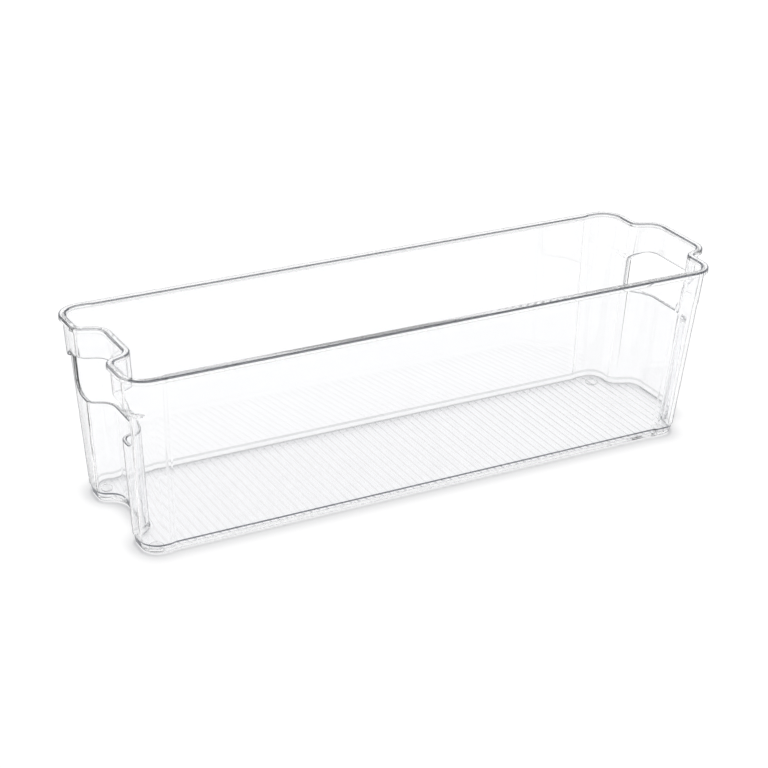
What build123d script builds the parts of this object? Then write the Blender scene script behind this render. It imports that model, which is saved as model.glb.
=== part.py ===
import os
from math import hypot

from build123d import *

# A clear fridge storage bin: a long open box whose middle is set over to one side at both ends, with a
# hand hole in each end, a rolled rim and a ribbed floor. Millimetres. X runs along the length, +Z is up,
# and the origin is the centre of the overall box, on the surface that the bin stands on.

# Overall size, over the rim
overall_length = 320.0
overall_width = 92.0
overall_height = 91.0

# Walls
wall = 1.8
wall_lean = 6.3  # each wall leans in by this much from the rim to the base band
corner_radius_rim = 11.0
corner_radius_base = 9.0

# Rim
lip_overhang = 1.5
lip_height = 2.4
lip_round = 0.8

# Ends: the middle of both ends is set over towards +X, hollow on the left and bulging on the right
end_shift = 12.0
left_post_width = 27.5  # from a long wall's outer face to half way along the hollow's slant, at the rim
right_post_width = 23.0  # and to half way along the bulge's
side_slant = 4.4
shoulder_radius = 3.7  # on the inside of the turn, as are the next radii
middle_radius = 6.8

# Hand holes, below a band that fingers pull on
band_above_hole = 15.5
hole_height = 22.5
left_hole_margin = 11.5  # from a long wall's outer face at the rim to the hole's side
right_hole_margin = 21.3
hole_upper_radius = 5.0
hole_lower_radius = 6.5

# Ledge across the end face of each post
ledge_drop = 4.0  # below the top of the hand holes
left_ledge = 2.3
right_ledge = 0.7

# Shallow panel pressed into each long wall
jog_reach = 15.5  # from the posts' end face to the panel, at the rim
jog_lean = 5.2
jog_depth = 0.8
jog_run = 2.6
jog_radius = 1.4
panel_margin = 2.0  # from the jog to the start of the flat wall
corner_margin = 0.3  # least flat wall between a corner's rounding and the jog's

# Base
foot_height = 0.8
foot_diameter = 6.5
foot_inset = 6.6  # from the base's edges to the foot's centre
foot_round = 0.3
floor_thickness = 2.0
band_height = 5.3
band_step = 0.5
band_taper = 1.0

# Floor ribs
rib_pitch = 4.15
rib_width = 0.8
rib_height = 0.4
rib_margin = 1.0  # from the wall panels to the ribs' ends

# Levels and places that follow
floor_top = foot_height + floor_thickness
rim_bottom = overall_height - lip_height
hole_top = overall_height - band_above_hole
hole_middle = hole_top - hole_height / 2
ledge_height = hole_top - ledge_drop
shelf_top = ledge_height + wall
left_post = lip_overhang - overall_length / 2
left_middle = left_post + end_shift
right_middle = overall_length / 2 - lip_overhang
right_post = right_middle - end_shift
half_width = overall_width / 2 - lip_overhang
half_hollow = half_width - left_post_width
half_bulge = half_width - right_post_width
half_holes = {"left": half_width - left_hole_margin, "right": half_width - right_hole_margin}
jog_room = jog_reach + jog_lean + jog_run + panel_margin
left_cut = left_post + jog_room
right_cut = right_post - jog_room
ledges = (left_ledge, right_ledge)
no_ledges = (0.0, 0.0)


def slide(run, rise, depth):
    """How far a slanting step slides along its wall when the faces on both sides of it move in by depth."""
    return depth * (hypot(run, rise) - rise) / run


def outline(height, steps, depth=0.0, panels=True):
    """Edge of the walls at a height, at a depth behind their outer face, with the posts' ends stepped in."""
    share = (overall_height - height) / (overall_height - band_height)
    lean = wall_lean * share
    left = left_post + lean + steps[0]
    right = right_post - lean - steps[1]
    hollow_end = left_middle + lean
    bulge_end = right_middle - lean
    side = half_width - lean - depth
    corner = corner_radius_rim + (corner_radius_base - corner_radius_rim) * share - depth
    half_slant = side_slant / 2
    hollow = half_hollow + slide(hollow_end - left, side_slant, depth)
    bulge = half_bulge - slide(bulge_end - right, side_slant, depth)
    jog = jog_reach + jog_lean * share - slide(jog_depth, jog_run, depth)
    left_corner = right_corner = corner
    if panels:
        # The corners' rounding ends before the jogs' begins
        room = jog - depth - slide(jog_depth, jog_run, jog_radius + wall - depth) - corner_margin
        left_corner = min(corner, room + left_post - left)
        right_corner = min(corner, room + right - right_post)

    # Corners of the rear half from left to right: place, and radius of the turn
    rear_half = [
        (hollow_end + depth, hollow - half_slant, middle_radius + depth),
        (left + depth, hollow + half_slant, shoulder_radius + wall - depth),
        (left + depth, side, left_corner),
    ]
    if panels:
        rear_half += [
            (left_post + jog, side, jog_radius + wall - depth),
            (left_post + jog + jog_run, side - jog_depth, jog_radius + depth),
            (right_post - jog - jog_run, side - jog_depth, jog_radius + depth),
            (right_post - jog, side, jog_radius + wall - depth),
        ]
    rear_half += [
        (right - depth, side, right_corner),
        (right - depth, bulge + half_slant, shoulder_radius + depth),
        (bulge_end - depth, bulge - half_slant, middle_radius + wall - depth),
    ]
    corners = rear_half + [(x, -y, radius) for x, y, radius in reversed(rear_half)]
    with BuildSketch() as edge:
        with BuildLine():
            FilletPolyline(
                *[(x, y) for x, y, _ in corners],
                radius=[radius for _, _, radius in corners],
                close=True,
            )
        make_face()
    return edge.sketch


def finish(piece, name):
    """Names a piece and writes it."""
    piece.part.label = name
    export_step(piece.part, f"parts/{name}.step")


os.makedirs("parts", exist_ok=True)

# The whole moulding, from which each piece takes its own stretch
with BuildPart() as moulding:
    # Base band, stepped in below the walls and tapering to the underside
    with BuildSketch(Plane.XY.offset(foot_height)):
        add(outline(band_height, ledges, band_step + band_taper))
    with BuildSketch(Plane.XY.offset(band_height)):
        add(outline(band_height, ledges, band_step))
    loft(ruled=True)
    # Walls below the ledges, walls above them, and the lip round the rim
    with BuildSketch(Plane.XY.offset(band_height)):
        add(outline(band_height, ledges))
    with BuildSketch(Plane.XY.offset(ledge_height)):
        add(outline(ledge_height, ledges))
    loft(ruled=True)
    with BuildSketch(Plane.XY.offset(ledge_height)):
        add(outline(ledge_height, no_ledges))
    with BuildSketch(Plane.XY.offset(overall_height)):
        add(outline(overall_height, no_ledges))
    loft(ruled=True)
    with BuildSketch(Plane.XY.offset(rim_bottom)):
        add(outline(overall_height, no_ledges, -lip_overhang, panels=False))
    extrude(amount=lip_height)
    # The inside, below and above the shelf that each ledge makes
    with BuildSketch(Plane.XY.offset(floor_top)):
        add(outline(floor_top, ledges, wall))
    with BuildSketch(Plane.XY.offset(shelf_top)):
        add(outline(shelf_top, ledges, wall))
    loft(ruled=True, mode=Mode.SUBTRACT)
    with BuildSketch(Plane.XY.offset(shelf_top)):
        add(outline(shelf_top, no_ledges, wall))
    with BuildSketch(Plane.XY.offset(overall_height)):
        add(outline(overall_height, no_ledges, wall))
    loft(ruled=True, mode=Mode.SUBTRACT)
    # One hand hole through each end
    for end, half_hole in half_holes.items():
        with BuildSketch(Plane.YZ) as hand_hole:
            with Locations((0, hole_middle)):
                Rectangle(2 * half_hole, hole_height)
            fillet(hand_hole.vertices().group_by(Axis.Y)[-1], hole_upper_radius)
            fillet(hand_hole.vertices().group_by(Axis.Y)[0], hole_lower_radius)
        extrude(amount=-overall_length if end == "left" else overall_length, mode=Mode.SUBTRACT)
    fillet(moulding.faces().sort_by(Axis.Z)[-1].edges(), lip_round)


def stretch(name, x_span, y_span, z_span):
    """Takes one stretch of the moulding as a piece of its own."""
    with BuildPart() as piece:
        add(moulding.part)
        with BuildSketch(Plane.XY.offset(z_span[0])):
            with Locations((sum(x_span) / 2, sum(y_span) / 2)):
                Rectangle(x_span[1] - x_span[0], y_span[1] - y_span[0])
        extrude(amount=z_span[1] - z_span[0], mode=Mode.INTERSECT)
    finish(piece, name)


# Where the pieces part: posts and handles at the ends, flat walls between them, rim and floor all round
ends = {"left": (-overall_length, left_cut), "right": (right_cut, overall_length)}
between = (left_cut, right_cut)
full_length = (-overall_length, overall_length)
halves = {"front": (-overall_width, 0), "rear": (0, overall_width)}
full_width = (-overall_width, overall_width)
wall_span = (floor_top, rim_bottom)
rim_span = (rim_bottom, overall_height)

stretch("floor", full_length, full_width, (foot_height, floor_top))
for side, y_span in halves.items():
    stretch(f"{side}_wall", between, y_span, wall_span)
    stretch(f"{side}_rim", between, y_span, rim_span)
for end, x_span in ends.items():
    half_hole = half_holes[end]
    middle = (-half_hole, half_hole)
    posts = {"front": (-overall_width, -half_hole), "rear": (half_hole, overall_width)}
    stretch(f"{end}_end_panel", x_span, middle, (floor_top, hole_middle))
    stretch(f"{end}_handle_band", x_span, middle, (hole_middle, rim_bottom))
    stretch(f"{end}_rim", x_span, full_width, rim_span)
    for side, y_span in posts.items():
        stretch(f"{side}_{end}_post", x_span, y_span, wall_span)

# Fine ribs across the floor, kept clear of the walls
rib_count = int(overall_length / rib_pitch)
with BuildPart() as floor_ribs:
    with BuildSketch(Plane.XY.offset(floor_top)):
        with GridLocations(rib_pitch, overall_width, rib_count, 1):
            Rectangle(rib_width, overall_width)
        add(outline(floor_top, ledges, wall + jog_depth + rib_margin, panels=False), mode=Mode.INTERSECT)
    extrude(amount=rib_height)
finish(floor_ribs, "floor_ribs")

# Four low round feet under the corners of the base
edge_inset = wall_lean + band_step + band_taper + foot_inset
foot_x = {"left": left_post + left_ledge + edge_inset, "right": right_post - right_ledge - edge_inset}
foot_y = {"front": edge_inset - half_width, "rear": half_width - edge_inset}
for end, x in foot_x.items():
    for side, y in foot_y.items():
        with BuildPart() as foot:
            with BuildSketch():
                with Locations((x, y)):
                    Circle(foot_diameter / 2)
            extrude(amount=foot_height)
            fillet(foot.faces().sort_by(Axis.Z)[0].edges(), foot_round)
        finish(foot, f"{side}_{end}_foot")
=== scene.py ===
from math import atan2, cos, hypot, radians, sin, tan

import bmesh
import bpy
from mathutils import Matrix, Vector


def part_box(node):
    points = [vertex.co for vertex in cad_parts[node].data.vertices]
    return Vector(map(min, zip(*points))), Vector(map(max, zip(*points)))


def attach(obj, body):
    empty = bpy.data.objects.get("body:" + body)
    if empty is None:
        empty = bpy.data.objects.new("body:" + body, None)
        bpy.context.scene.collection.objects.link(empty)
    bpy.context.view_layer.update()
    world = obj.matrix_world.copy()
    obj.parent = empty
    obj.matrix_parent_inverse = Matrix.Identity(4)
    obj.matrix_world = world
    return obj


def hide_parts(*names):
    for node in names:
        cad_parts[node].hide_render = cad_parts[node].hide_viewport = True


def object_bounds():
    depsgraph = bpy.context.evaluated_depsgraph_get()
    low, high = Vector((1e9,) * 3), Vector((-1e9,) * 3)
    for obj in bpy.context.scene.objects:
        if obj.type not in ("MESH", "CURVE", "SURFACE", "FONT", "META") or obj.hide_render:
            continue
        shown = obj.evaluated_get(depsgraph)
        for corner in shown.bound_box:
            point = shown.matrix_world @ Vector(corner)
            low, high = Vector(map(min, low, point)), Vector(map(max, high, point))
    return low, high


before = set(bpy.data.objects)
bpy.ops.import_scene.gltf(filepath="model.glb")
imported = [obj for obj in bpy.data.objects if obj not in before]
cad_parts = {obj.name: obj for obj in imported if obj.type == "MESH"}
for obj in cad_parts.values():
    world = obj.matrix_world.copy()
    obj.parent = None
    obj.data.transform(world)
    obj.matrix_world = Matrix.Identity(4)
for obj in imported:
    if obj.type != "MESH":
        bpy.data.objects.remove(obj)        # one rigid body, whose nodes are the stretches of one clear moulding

mm = 0.001
tiny = 1e-7              # two places closer than this are one
cadLow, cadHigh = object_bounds()
floorLow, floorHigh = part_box("floor")
print("frame:", len(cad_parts), "nodes, CAD box", [round(v, 4) for v in (*cadLow, *cadHigh)])


# The clear moulding: its outline at each level, then the levels bridged into one closed skin

moulding = {
    "wall": 1.8 * mm,
    "wallLean": 6.3 * mm,          # each wall leans in by this from rim to base band
    "cornerAtRim": 11.0 * mm,
    "cornerAtBase": 9.0 * mm,
    "endShift": 12.0 * mm,         # middle of both ends, set over towards +X
    "leftPostWidth": 27.5 * mm,
    "rightPostWidth": 23.0 * mm,
    "sideSlant": 4.4 * mm,
    "shoulderRadius": 3.7 * mm,
    "middleRadius": 6.8 * mm,
    "lipOverhang": 1.5 * mm,
    "lipHeight": 2.4 * mm,
    "leftLedge": 2.3 * mm,
    "rightLedge": 0.7 * mm,
    "ledgeHeight": 71.5 * mm,
    "ledgeRise": 0.8 * mm,         # the ledge slopes by this across its width
    "jogReach": 15.5 * mm,
    "jogLean": 5.2 * mm,
    "jogDepth": 0.8 * mm,
    "jogRun": 2.6 * mm,
    "jogRadius": 1.4 * mm,
    "leastRadius": 0.3 * mm,
    "bandHeight": 5.3 * mm,
    "bandStep": 0.5 * mm,
    "stepRise": 0.9 * mm,          # the step slopes by this across its depth
    "bandTaper": 1.0 * mm,
    "plainPanel": 0.02,            # all but no panel, so that its corners still turn
    "cornerSegments": 10,
    "stackStep": 30.0 * mm,
    # edges that run right round: size of the rounding, its painted shade (a dark line in place of refracted dark
    # surroundings), and its painted shade along the front
    "baseEdge": (0.4 * mm, 0.2, 0.2),
    "stepEdge": (0.12 * mm, 0.9, 0.9),
    "ledgeEdge": (0.38 * mm, 0, 0),
    "lipRoot": (0.25 * mm, 0, 0),
    "lipLower": (0.35 * mm, 0.25, 0.25),
    "lipUpper": (0.8 * mm, 0.5, 0.95),
    "rimInner": (0.7 * mm, 0.8, 0.2),
    "floorEdge": (0.5 * mm, 0.4, 0.4),
    "edgeSegments": 4,
    "leastTurn": 3.0,              # degrees, below which a ring's edge stays as it is
    "frontFrom": 41.0 * mm,        # from the middle to where the front's edges begin
    # painted shade of the faces from one level to the next: narrow ones, and wide ones, where less than 0 keeps
    # a flat wall clear of the painted edge-on shade when it is seen edge on
    "plainFaces": (0, 0),
    "stepFaces": (0.9, 0.9),
    "wallFaces": (0, -0.5),
    "wideFrom": 20.0 * mm,
    "sharpAngle": 40,
    "evenWeight": 100,
}
m = moulding
leftPost = cadLow.x + m["lipOverhang"]
rightMiddle = cadHigh.x - m["lipOverhang"]
leftMiddle = leftPost + m["endShift"]
rightPost = rightMiddle - m["endShift"]
halfWidth = cadHigh.y - m["lipOverhang"]
halfHollow = halfWidth - m["leftPostWidth"]
halfBulge = halfWidth - m["rightPostWidth"]
rimTop, rimBottom = cadHigh.z, cadHigh.z - m["lipHeight"]
floorBottom, floorTop = floorLow.z, floorHigh.z


def leanAt(height):
    return (rimTop - height) / (rimTop - m["bandHeight"])


def slideAlong(run, rise, depth):
    # a slanting step slides along its wall when the faces beside it move in by depth
    return depth * (hypot(run, rise) - rise) / run


def wallCorners(lean, depth, ledge, panel):
    # corners (x, y, reach of the rounding) of the outline at one level, depth behind the outer face
    inward = m["wallLean"] * lean
    left = leftPost + inward + m["leftLedge"] * ledge
    right = rightPost - inward - m["rightLedge"] * ledge
    hollowEnd, bulgeEnd = leftMiddle + inward, rightMiddle - inward
    side = halfWidth - inward - depth
    slant, halfSlant = m["sideSlant"], m["sideSlant"] / 2
    hollowRun, bulgeRun = hollowEnd - left, bulgeEnd - right
    hollow = halfHollow + slideAlong(hollowRun, slant, depth)
    bulge = halfBulge - slideAlong(bulgeRun, slant, depth)
    jog = m["jogReach"] + m["jogLean"] * lean - slideAlong(m["jogDepth"], m["jogRun"], depth)
    jogSide = side - m["jogDepth"] * panel
    corner = m["cornerAtRim"] + (m["cornerAtBase"] - m["cornerAtRim"]) * lean - depth
    # the ledges fade out round the corners
    tight = ledge * (1 - lean) / (1 - leanAt(m["ledgeHeight"]))
    hollowTurn, bulgeTurn = tan(atan2(hollowRun, slant) / 2), tan(atan2(bulgeRun, slant) / 2)
    jogTurn = tan(atan2(m["jogDepth"], m["jogRun"]) / 2)
    outerJog = (m["jogRadius"] + m["wall"] - depth) * jogTurn
    innerJog = max(m["jogRadius"] + depth, m["leastRadius"]) * jogTurn
    rearHalf = [
        (hollowEnd + depth, hollow - halfSlant, (m["middleRadius"] + depth) * hollowTurn),
        (left + depth, hollow + halfSlant, (m["shoulderRadius"] + m["wall"] - depth) * hollowTurn),
        (left + depth, side, corner - m["leftLedge"] * tight),
        (leftPost + jog, side, outerJog),
        (leftPost + jog + m["jogRun"], jogSide, innerJog),
        (rightPost - jog - m["jogRun"], jogSide, innerJog),
        (rightPost - jog, side, outerJog),
        (right - depth, side, corner - m["rightLedge"] * tight),
        (right - depth, bulge + halfSlant, (m["shoulderRadius"] + depth) * bulgeTurn),
        (bulgeEnd - depth, bulge - halfSlant, (m["middleRadius"] + m["wall"] - depth) * bulgeTurn),
    ]
    return rearHalf + [(x, -y, reach) for x, y, reach in reversed(rearHalf)]


def roundedLoop(bm, corners, segments, place):
    # a closed wire through the corners, each rounded by its own reach
    before = set(bm.edges)
    verts = [bm.verts.new(place(x, y)) for x, y, _ in corners]
    for a, b in zip(verts, verts[1:] + verts[:1]):
        bm.edges.new((a, b))
    for vert, (_, _, reach) in zip(verts, corners):
        bmesh.ops.bevel(bm, geom=[vert], offset=reach, offset_type="OFFSET", segments=segments,
                        profile=0.5, affect="VERTICES", material=-1)
    return [e for e in bm.edges if e not in before]


def mouldingLevels():
    # from the underside, over the rim, to the floor and the field of ribs: height, lean, depth, ledge,
    # panel, the edge there, and the faces from there to the next level
    wall, lip, plain = m["wall"], -m["lipOverhang"], m["plainPanel"]
    base = leanAt(m["bandHeight"])
    stepLow, stepHigh = m["bandHeight"] - m["stepRise"] / 2, m["bandHeight"] + m["stepRise"] / 2
    ledgeLow, ledgeHigh = m["ledgeHeight"] - m["ledgeRise"] / 2, m["ledgeHeight"] + m["ledgeRise"] / 2
    shelfLow, shelfHigh = ledgeLow + wall, ledgeHigh + wall
    field = wall + m["jogDepth"] + floorRibs["margin"]
    return [
        (floorBottom, base, m["bandStep"] + m["bandTaper"], 1, 1, "baseEdge", "plainFaces"),
        (stepLow, base, m["bandStep"], 1, 1, "stepEdge", "stepFaces"),
        (stepHigh, leanAt(stepHigh), 0, 1, 1, "stepEdge", "wallFaces"),
        (ledgeLow, leanAt(ledgeLow), 0, 1, 1, "ledgeEdge", "wallFaces"),
        (ledgeHigh, leanAt(ledgeHigh), 0, 0, 1, "ledgeEdge", "wallFaces"),
        (rimBottom, leanAt(rimBottom), 0, 0, 1, "lipRoot", "plainFaces"),
        (rimBottom, 0, lip, 0, plain, "lipLower", "plainFaces"),
        (rimTop, 0, lip, 0, plain, "lipUpper", "plainFaces"),
        (rimTop, 0, wall, 0, 1, "rimInner", "wallFaces"),
        (shelfHigh, leanAt(shelfHigh), wall, 0, 1, "ledgeEdge", "wallFaces"),
        (shelfLow, leanAt(shelfLow), wall, 1, 1, "ledgeEdge", "wallFaces"),
        (floorTop, leanAt(floorTop), wall, 1, 1, "floorEdge", "wallFaces"),
        (floorTop, leanAt(floorTop), field, 1, plain, None, "wallFaces"),
    ]


floorRibs = {
    "pitch": 4.15 * mm,
    "width": 1.4 * mm,
    "topWidth": 0.5 * mm,
    "height": 0.2 * mm,
    "margin": 1.0 * mm,            # from the wall panels to the ribs' ends
    # painted shade on the ribs' sides, so that each rib shows as a soft grey line
    "shade": 0.14,
}


def raiseRibs(bm, field, shade):
    # the field between the walls is sliced into strips, and every rib strip is drawn up
    pitch, width = floorRibs["pitch"], floorRibs["width"]
    lowX, highX = min(v.co.x for v in field.verts), max(v.co.x for v in field.verts)
    count = int((cadHigh.x - cadLow.x) / pitch)
    centres = [(i - (count - 1) / 2) * pitch for i in range(count)]
    centres = [x for x in centres if lowX + width < x < highX - width]
    strips = {field}
    for x in centres:
        for cut in (x - width / 2, x + width / 2):
            reach = [f for f in strips
                     if min(v.co.x for v in f.verts) < cut < max(v.co.x for v in f.verts)]
            geom = list({e for f in reach for e in f.edges} | {v for f in reach for v in f.verts}) + reach
            made = bmesh.ops.bisect_plane(bm, geom=geom, plane_co=(cut, 0, 0), plane_no=(1, 0, 0), dist=tiny)
            strips |= {g for g in made["geom"] if isinstance(g, bmesh.types.BMFace)}
    ribFaces = []
    for x in centres:
        ribFaces += [f for f in strips if abs(f.calc_center_bounds().x - x) < width / 4]
    for face in ribFaces:
        made = bmesh.ops.extrude_face_region(bm, geom=[face])["geom"]
        top = [g for g in made if isinstance(g, bmesh.types.BMVert)]
        # the rib's sides carry painted shade
        for side in {f for v in top for f in v.link_faces}:
            side[shade] = floorRibs["shade"]
        middle = sum(v.co.x for v in top) / len(top)
        bmesh.ops.translate(bm, verts=top, vec=(0, 0, floorRibs["height"]))
        bmesh.ops.scale(bm, verts=top, vec=(floorRibs["topWidth"] / width, 1, 1),
                        space=Matrix.Translation((-middle, 0, 0)))
    stale = [f for f in ribFaces if f.is_valid]
    bmesh.ops.delete(bm, geom=stale, context="FACES_ONLY")
    print("ribs:", len(ribFaces), "raised")


def report(stage, bm):
    openEdges = [e for e in bm.edges if len(e.link_faces) != 2]
    print(f"{stage}: {len(bm.faces)} faces, {len(openEdges)} open edges, {bm.calc_volume() * 1e9:.0f} mm3")


def buildSkin():
    bm = bmesh.new()
    # a face attribute of painted shade: the material darkens rounded edges and the step by it, in place of the
    # dark lines that refraction draws
    shade = bm.faces.layers.float.new("paintedEdgeShade")
    levels = mouldingLevels()
    # bridged as a tall stack, because level loops don't pair up, and then each set to its own height
    rings = []
    for i, (_, lean, depth, ledge, panel, _, _) in enumerate(levels):
        stacked = i * m["stackStep"]
        rings.append(roundedLoop(bm, wallCorners(lean, depth, ledge, panel), m["cornerSegments"],
                                 lambda x, y: (x, y, stacked)))
    for low, high, level in zip(rings, rings[1:], levels):
        narrow, wide = m[level[-1]]
        for face in bmesh.ops.bridge_loops(bm, edges=low + high)["faces"]:
            widest = max((e.verts[0].co.xy - e.verts[1].co.xy).length for e in face.edges)
            face[shade] = wide if widest > m["wideFrom"] else narrow
    for ring, level in zip(rings, levels):
        for vert in {v for e in ring for v in e.verts}:
            vert.co.z = level[0]
    underside = bmesh.ops.contextual_create(bm, geom=rings[0])["faces"][0]
    field = bmesh.ops.contextual_create(bm, geom=rings[-1])["faces"][0]
    underside[shade] = field[shade] = m["wallFaces"][1]
    for ring, level in zip(rings[:-1], levels):
        size, elsewhere, front = m[level[-2]]
        turns = [e for e in ring if e.calc_face_angle(0) > radians(m["leastTurn"])]
        rounded = bmesh.ops.bevel(bm, geom=turns, offset=size, offset_type="OFFSET",
                                  segments=m["edgeSegments"], profile=0.5, affect="EDGES",
                                  clamp_overlap=False, material=-1)["faces"]
        # each rounded edge gets its painted shade, with its own value along the front
        for face in rounded:
            face[shade] = front if face.calc_center_median().y < -m["frontFrom"] else elsewhere
    raiseRibs(bm, field, shade)
    bmesh.ops.recalc_face_normals(bm, faces=bm.faces)
    report("skin", bm)
    return bm


handHole = {
    "upperRadius": 5.0 * mm,
    "lowerRadius": 6.5 * mm,
    "top": 75.5 * mm,
    "bottom": 53.0 * mm,
    "cornerSegments": 12,
    "clear": 10 * mm,              # each cut starts this far outside the end
    "leftReach": 50 * mm,
    "rightReach": 60 * mm,
    "edgeRound": 0.4 * mm,
    "edgeSegments": 3,
    # painted shade along the holes' rounded edges
    "paintedEdgeShade": 0.75,
}


def holeCutters():
    # one rounded prism through each end, as wide as that end's CAD panel
    h = handHole
    top, bottom, upper, lower = h["top"], h["bottom"], h["upperRadius"], h["lowerRadius"]
    bm = bmesh.new()
    for panel, start, reach in (("left_end_panel", cadLow.x - h["clear"], h["leftReach"]),
                                ("right_end_panel", cadHigh.x + h["clear"], -h["rightReach"])):
        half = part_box(panel)[1].y
        corners = [(half, bottom, lower), (half, top, upper), (-half, top, upper), (-half, bottom, lower)]
        ring = roundedLoop(bm, corners, h["cornerSegments"], lambda y, z: (start, y, z))
        face = bmesh.ops.contextual_create(bm, geom=ring)["faces"]
        made = bmesh.ops.extrude_face_region(bm, geom=face, use_keep_orig=True)["geom"]
        far = [g for g in made if isinstance(g, bmesh.types.BMVert)]
        bmesh.ops.translate(bm, verts=far, vec=(reach, 0, 0))
    bmesh.ops.recalc_face_normals(bm, faces=bm.faces)
    return bm


roundFeet = {"edgeRound": 0.3 * mm, "edgeSegments": 3, "segments": 48, "rootDepth": 0.4 * mm}


def feet():
    # one low disc under each corner, rooted in the floor
    bm = bmesh.new()
    for name in ("front_left_foot", "front_right_foot", "rear_left_foot", "rear_right_foot"):
        low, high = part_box(name)
        radius, tall = (high.x - low.x) / 2, high.z - low.z + roundFeet["rootDepth"]
        place = Matrix.Translation(((low.x + high.x) / 2, (low.y + high.y) / 2, low.z + tall / 2))
        disc = bmesh.ops.create_cone(bm, cap_ends=True, segments=roundFeet["segments"], radius1=radius,
                                     radius2=radius, depth=tall, matrix=place)["verts"]
        rim = {e for v in disc for e in v.link_edges if all(w.co.z < low.z + tiny for w in e.verts)}
        bmesh.ops.bevel(bm, geom=list(rim), offset=roundFeet["edgeRound"], offset_type="OFFSET",
                        segments=roundFeet["edgeSegments"], profile=0.5, affect="EDGES", material=-1)
    return bm


def meshObject(name, bm):
    mesh = bpy.data.meshes.new(name)
    bm.to_mesh(mesh)
    bm.free()
    piece = bpy.data.objects.new(name, mesh)
    bpy.context.scene.collection.objects.link(piece)
    return piece


def combine(piece, other, operation):
    # boolean, applied, after which the other shape goes
    step = piece.modifiers.new(operation.lower(), "BOOLEAN")
    step.operation, step.object, step.solver = operation, other, "EXACT"
    bpy.context.view_layer.update()
    merged = bpy.data.meshes.new_from_object(piece.evaluated_get(bpy.context.evaluated_depsgraph_get()))
    piece.modifiers.clear()
    old, piece.data = piece.data, merged
    bpy.data.meshes.remove(old)
    bpy.data.objects.remove(other)


def roundHoleEdges(piece):
    # the holes' faces are on slot 1, so their edges lie between the two slots
    bm = bmesh.new()
    bm.from_mesh(piece.data)
    edges = [e for e in bm.edges if len({f.material_index for f in e.link_faces}) == 2]
    rounded = bmesh.ops.bevel(bm, geom=edges, offset=handHole["edgeRound"], offset_type="OFFSET",
                              segments=handHole["edgeSegments"], profile=0.5, affect="EDGES",
                              clamp_overlap=False, material=0)["faces"]
    # the rounded hole edges get painted shade
    shade = bm.faces.layers.float["paintedEdgeShade"]
    for face in rounded:
        face[shade] = handHole["paintedEdgeShade"]
    for face in bm.faces:
        face.material_index = 0
        face.smooth = True
    report("moulding", bm)
    bm.to_mesh(piece.data)
    bm.free()


# Clear plastic

clearPlastic = {
    "tint": (0.985, 0.987, 0.993, 1),
    "paintedEdgeShadeColour": (0.03, 0.034, 0.045, 1),     # painted shade: the dark colour put where a face is seen edge on, and along rounded edges
    # the facing over which the painted edge-on shade comes in
    "edgeSpan": (0.71, 0.77),
    "edgeLead": 0.5,               # how much sooner an edge with painted shade turns dark
    "insideShade": 0.45,           # how much of an edge's painted shade is left when it is seen through the wall
    "ior": 1.57,
    "waveScale": 38.0,             # slow ripples that the cooling moulding leaves
    "waveDetail": 1,
    "waveHeight": 0.01 * mm,
    "hazeScale": 160.0,
    "hazeDetail": 3,
    "hazeSpan": (0.35, 0.75),
    "roughness": (0.0, 0.02),
    "lampTint": ((0.99, 0.99, 0.992, 1), (0.55, 0.555, 0.57, 1)),   # face on, and edge on
    "lampSpan": (0.3, 0.55),
    "lampReach": (8 * mm, 28 * mm),          # the shade at the foot of the walls fades over this height
}


def byTilt(nodes, links, span, colours, sooner=None):
    # a colour that goes from the first to the second as a face turns edge on
    tilt = nodes.new("ShaderNodeLayerWeight")
    tilt.inputs["Blend"].default_value = 0.5
    turn = tilt.outputs["Facing"]
    if sooner:
        add = nodes.new("ShaderNodeMath")
        add.operation = "MULTIPLY_ADD"
        add.inputs[1].default_value = clearPlastic["edgeLead"]
        links.new(sooner, add.inputs[0])
        links.new(turn, add.inputs[2])
        turn = add.outputs[0]
    ramp = nodes.new("ShaderNodeValToRGB")
    for stop, place, colour in zip(ramp.color_ramp.elements, span, colours):
        stop.position, stop.color = place, colour
    links.new(turn, ramp.inputs["Fac"])
    return ramp.outputs["Color"]


def noise(nodes, links, coords, scale, detail):
    texture = nodes.new("ShaderNodeTexNoise")
    texture.inputs["Scale"].default_value = scale
    texture.inputs["Detail"].default_value = detail
    links.new(coords.outputs["Object"], texture.inputs["Vector"])
    return texture.outputs["Fac"]


def mapRange(nodes, links, value, source, target):
    span = nodes.new("ShaderNodeMapRange")
    for key, number in zip(("From Min", "From Max", "To Min", "To Max"), (*source, *target)):
        span.inputs[key].default_value = number
    links.new(value, span.inputs["Value"])
    return span.outputs["Result"]


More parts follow.
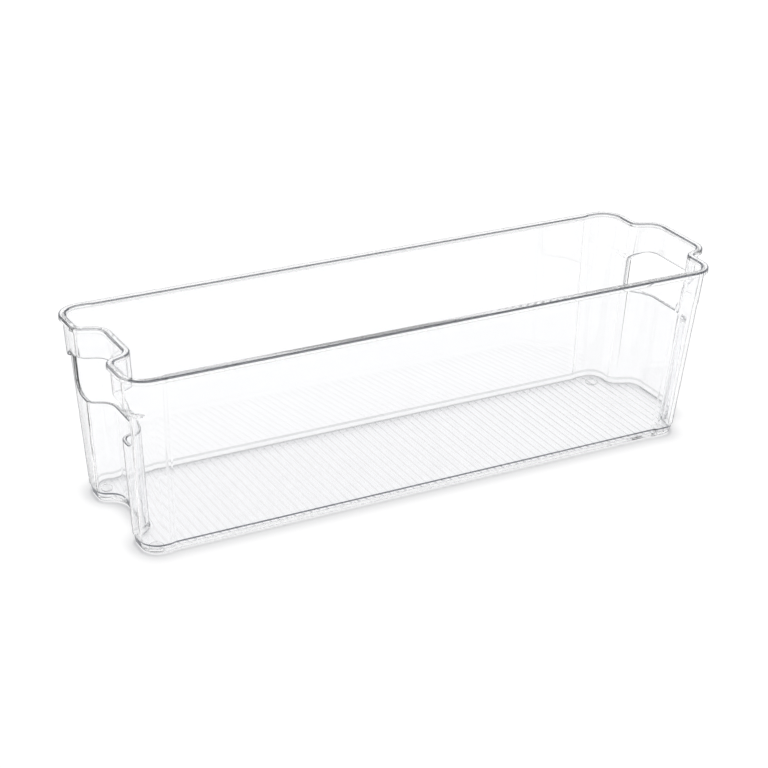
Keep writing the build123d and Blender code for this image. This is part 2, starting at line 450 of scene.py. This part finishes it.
def makeClearPlastic():
    look = clearPlastic
    mat = bpy.data.materials.new("clearPlastic")
    mat.use_nodes = True
    nodes, links = mat.node_tree.nodes, mat.node_tree.links
    nodes.clear()
    out = nodes.new("ShaderNodeOutputMaterial")
    body = nodes.new("ShaderNodeBsdfPrincipled")
    body.inputs["IOR"].default_value = look["ior"]
    body.inputs["Transmission Weight"].default_value = 1.0
    # painted shade: rounded edges and faces seen edge on are darkened in the base colour, and less so from
    # inside the wall
    edges = nodes.new("ShaderNodeAttribute")
    edges.attribute_name = "paintedEdgeShade"
    side = nodes.new("ShaderNodeNewGeometry")
    inside = nodes.new("ShaderNodeMath")
    inside.operation = "MULTIPLY_ADD"
    inside.inputs[1].default_value, inside.inputs[2].default_value = look["insideShade"] - 1, 1
    links.new(side.outputs["Backfacing"], inside.inputs[0])
    strength = nodes.new("ShaderNodeMath")
    strength.operation = "MULTIPLY"
    links.new(edges.outputs["Fac"], strength.inputs[0])
    links.new(inside.outputs[0], strength.inputs[1])
    shade = strength.outputs[0]
    # mixes the plastic's tint towards the painted shade colour by the edges' painted shade
    tint = nodes.new("ShaderNodeMix")
    tint.data_type = "RGBA"
    tint.inputs["B"].default_value = look["paintedEdgeShadeColour"]
    clearToPaintedShade = byTilt(nodes, links, look["edgeSpan"], (look["tint"], look["paintedEdgeShadeColour"]), shade)
    links.new(clearToPaintedShade, tint.inputs["A"])
    links.new(shade, tint.inputs["Factor"])
    links.new(tint.outputs["Result"], body.inputs["Base Color"])
    # faint haze and ripples
    coords = nodes.new("ShaderNodeTexCoord")
    haze = noise(nodes, links, coords, look["hazeScale"], look["hazeDetail"])
    links.new(mapRange(nodes, links, haze, look["hazeSpan"], look["roughness"]), body.inputs["Roughness"])
    ripple = nodes.new("ShaderNodeBump")
    ripple.inputs["Strength"].default_value = 1.0
    ripple.inputs["Distance"].default_value = look["waveHeight"]
    wave = noise(nodes, links, coords, look["waveScale"], look["waveDetail"])
    links.new(wave, ripple.inputs["Height"])
    links.new(ripple.outputs["Normal"], body.inputs["Normal"])
    # light from lamps passes a wall that faces it, and is turned aside by a low one that lies edge on
    lampSide = nodes.new("ShaderNodeBsdfTransparent")
    place = nodes.new("ShaderNodeSeparateXYZ")
    links.new(coords.outputs["Object"], place.inputs["Vector"])
    low = mapRange(nodes, links, place.outputs["Z"], look["lampReach"], (1, 0))
    lampTint = nodes.new("ShaderNodeMix")
    lampTint.data_type = "RGBA"
    lampTint.inputs["A"].default_value = look["lampTint"][0]
    links.new(low, lampTint.inputs["Factor"])
    links.new(byTilt(nodes, links, look["lampSpan"], look["lampTint"]), lampTint.inputs["B"])
    links.new(lampTint.outputs["Result"], lampSide.inputs["Color"])
    path = nodes.new("ShaderNodeLightPath")
    mix = nodes.new("ShaderNodeMixShader")
    links.new(path.outputs["Is Shadow Ray"], mix.inputs["Fac"])
    links.new(body.outputs["BSDF"], mix.inputs[1])
    links.new(lampSide.outputs["BSDF"], mix.inputs[2])
    links.new(mix.outputs["Shader"], out.inputs["Surface"])
    return mat


skin = meshObject("clear_bin", buildSkin())
cutter = meshObject("holeTool", holeCutters())
for piece in (skin, cutter):
    for _ in range(2):
        piece.data.materials.append(None)     # empty slots, which tell the holes' faces from the rest
for face in cutter.data.polygons:
    face.material_index = 1
combine(skin, meshObject("footTool", feet()), "UNION")
combine(skin, cutter, "DIFFERENCE")
roundHoleEdges(skin)
skin.data.materials.clear()
skin.data.materials.append(makeClearPlastic())
skin.data.set_sharp_from_angle(angle=radians(m["sharpAngle"]))
weighted = skin.modifiers.new("evenNormals", "WEIGHTED_NORMAL")
weighted.keep_sharp = True
weighted.weight = m["evenWeight"]
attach(skin, "root")
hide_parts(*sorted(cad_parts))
print("clear bin built")


# Studio

studio = {
    "floorSize": 8.0,
    "floorColour": (0.88, 0.88, 0.88, 1),
    "glow": {"Is Camera Ray": 0.16, "Is Transmission Ray": 0.085, "Is Glossy Ray": 0.04},
    "farGlow": ((0.3, 3.5), (0.0, 0.6)),     # over this distance, the glow makes up for the lamp's fall-off
    "backdrop": (0.97, 0.97, 0.97, 1),
    "darkRoom": (0.55, 0.56, 0.58, 1),       # what clear edges show of the unlit side of the room
    "darkWay": (-0.2, -0.4, 0.9),
    "darkSpan": (0.5, 0.7),
    "softboxSize": (2.2, 3.0),
    "softboxPlace": (0, -0.05, 4.0),
    "softboxPower": 180.0,
    "bounces": 60,                 # light runs a long way inside clear walls
}


def makeFloor():
    bm = bmesh.new()
    bmesh.ops.create_grid(bm, x_segments=1, y_segments=1, size=studio["floorSize"] / 2)
    ground = meshObject("studioFloor", bm)
    mat = bpy.data.materials.new("paleFloor")
    mat.use_nodes = True
    nodes, links = mat.node_tree.nodes, mat.node_tree.links
    nodes.clear()
    out = nodes.new("ShaderNodeOutputMaterial")
    matt = nodes.new("ShaderNodeBsdfDiffuse")
    matt.inputs["Color"].default_value = studio["floorColour"]
    glow = nodes.new("ShaderNodeEmission")
    both = nodes.new("ShaderNodeAddShader")
    coords = nodes.new("ShaderNodeTexCoord")
    away = nodes.new("ShaderNodeVectorMath")
    away.operation = "LENGTH"
    links.new(coords.outputs["Object"], away.inputs[0])
    level = mapRange(nodes, links, away.outputs["Value"], *studio["farGlow"])
    path = nodes.new("ShaderNodeLightPath")
    for kind, strength in studio["glow"].items():
        more = nodes.new("ShaderNodeMath")
        more.operation = "MULTIPLY_ADD"
        more.inputs[1].default_value = strength
        links.new(path.outputs[kind], more.inputs[0])
        links.new(level, more.inputs[2])
        level = more.outputs[0]
    links.new(level, glow.inputs["Strength"])
    links.new(matt.outputs[0], both.inputs[0])
    links.new(glow.outputs[0], both.inputs[1])
    links.new(both.outputs[0], out.inputs["Surface"])
    ground.data.materials.append(mat)


def makeWorld():
    world = bpy.data.worlds.new("studioWorld")
    bpy.context.scene.world = world
    world.use_nodes = True
    nodes, links = world.node_tree.nodes, world.node_tree.links
    nodes.clear()
    out = nodes.new("ShaderNodeOutputWorld")
    back = nodes.new("ShaderNodeBackground")
    coords = nodes.new("ShaderNodeTexCoord")
    way = nodes.new("ShaderNodeVectorMath")
    way.operation = "DOT_PRODUCT"
    way.inputs[1].default_value = Vector(studio["darkWay"]).normalized()
    ramp = nodes.new("ShaderNodeValToRGB")
    for stop, place, key in zip(ramp.color_ramp.elements, studio["darkSpan"], ("backdrop", "darkRoom")):
        stop.position, stop.color = place, studio[key]
    # plain white to the camera, and no light on matt faces
    path = nodes.new("ShaderNodeLightPath")
    white, matt = nodes.new("ShaderNodeMix"), nodes.new("ShaderNodeMix")
    for mix, colour in ((white, (1, 1, 1, 1)), (matt, (0, 0, 0, 1))):
        mix.data_type = "RGBA"
        mix.inputs["B"].default_value = colour
    links.new(coords.outputs["Generated"], way.inputs[0])
    links.new(way.outputs["Value"], ramp.inputs["Fac"])
    links.new(ramp.outputs["Color"], white.inputs["A"])
    links.new(path.outputs["Is Camera Ray"], white.inputs["Factor"])
    links.new(white.outputs["Result"], matt.inputs["A"])
    links.new(path.outputs["Is Diffuse Ray"], matt.inputs["Factor"])
    links.new(matt.outputs["Result"], back.inputs["Color"])
    links.new(back.outputs[0], out.inputs["Surface"])


def addSoftbox():
    lamp = bpy.data.lights.new("overhead", "AREA")
    lamp.shape, lamp.energy = "RECTANGLE", studio["softboxPower"]
    lamp.size, lamp.size_y = studio["softboxSize"]
    box = bpy.data.objects.new("overhead", lamp)
    box.location = studio["softboxPlace"]
    box.rotation_euler = (-box.location).to_track_quat("-Z", "Y").to_euler()
    box.visible_glossy = box.visible_transmission = False
    bpy.context.scene.collection.objects.link(box)


makeFloor()
makeWorld()
addSoftbox()
light = bpy.context.scene.cycles
light.max_bounces = light.glossy_bounces = light.transmission_bounces = studio["bounces"]
light.caustics_reflective = light.caustics_refractive = False
print("studio set")


# Camera, at the photograph's angle

view = {
    "lens": 97.3,
    "sensor": 36,
    "clip": (0.05, 50),
    "azimuth": -29.358,
    "elevation": 25.325,
    "roll": 1.749,
    "distance": 1.01349,
    "aim": (-1.81 * mm, 15.69 * mm, 33.32 * mm),
}


def makeCamera():
    a, e, roll = (radians(view[key]) for key in ("azimuth", "elevation", "roll"))
    back = Vector((sin(a) * cos(e), -cos(a) * cos(e), sin(e)))
    right = Matrix.Rotation(roll, 3, back) @ Vector((cos(a), sin(a), 0))
    turn = Matrix((right, back.cross(right), back)).transposed().to_4x4()
    data = bpy.data.cameras.new("photoCamera")
    data.lens, data.sensor_width = view["lens"], view["sensor"]
    data.clip_start, data.clip_end = view["clip"]
    camera = bpy.data.objects.new("photoCamera", data)
    camera.matrix_world = Matrix.Translation(Vector(view["aim"]) + back * view["distance"]) @ turn
    bpy.context.scene.collection.objects.link(camera)
    bpy.context.scene.camera = camera


makeCamera()
bpy.context.scene.view_settings.view_transform = "Standard"
